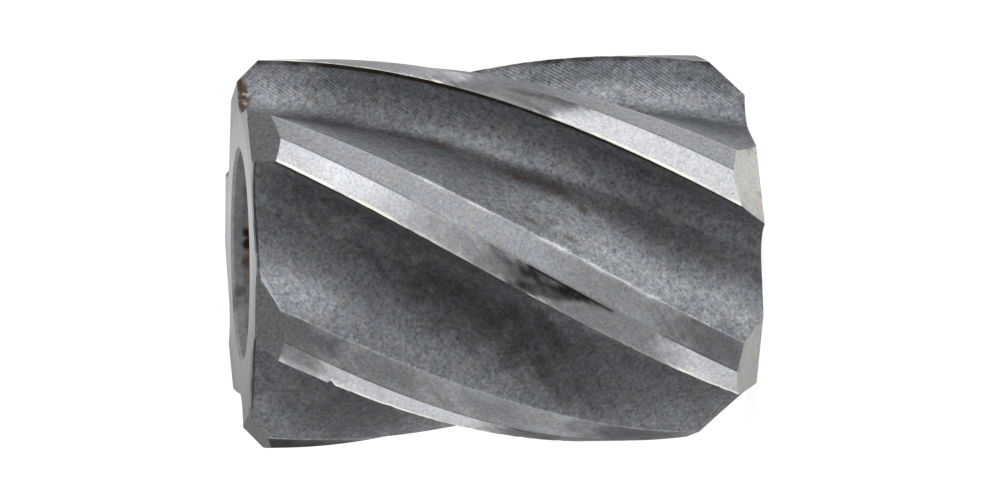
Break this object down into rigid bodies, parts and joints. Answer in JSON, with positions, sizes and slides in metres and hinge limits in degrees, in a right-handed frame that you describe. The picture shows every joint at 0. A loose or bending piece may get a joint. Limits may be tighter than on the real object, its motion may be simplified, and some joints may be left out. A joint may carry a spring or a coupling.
{
  "type": "shell reamer",
  "caption": "Short hollow reamer with right-hand helical teeth, open gullets, chamfered tooth ends and a plain through bore for an arbor.",
  "frame": {"origin": "centre of the cutting end's plane, on the tool axis; the part stands on this end", "axes": "+Z along the tool axis, from the cutting end up to the drive end; +X and +Y across it"},
  "size_m": [0.0355, 0.0354, 0.046],
  "materials": {
    "tool_steel": "bright ground margins and end faces, dull grey milled flutes with light rust and wear"
  },
  "bodies": {
    "root": {"reamer_body": "tool_steel"}
  },
  "joints": []
}
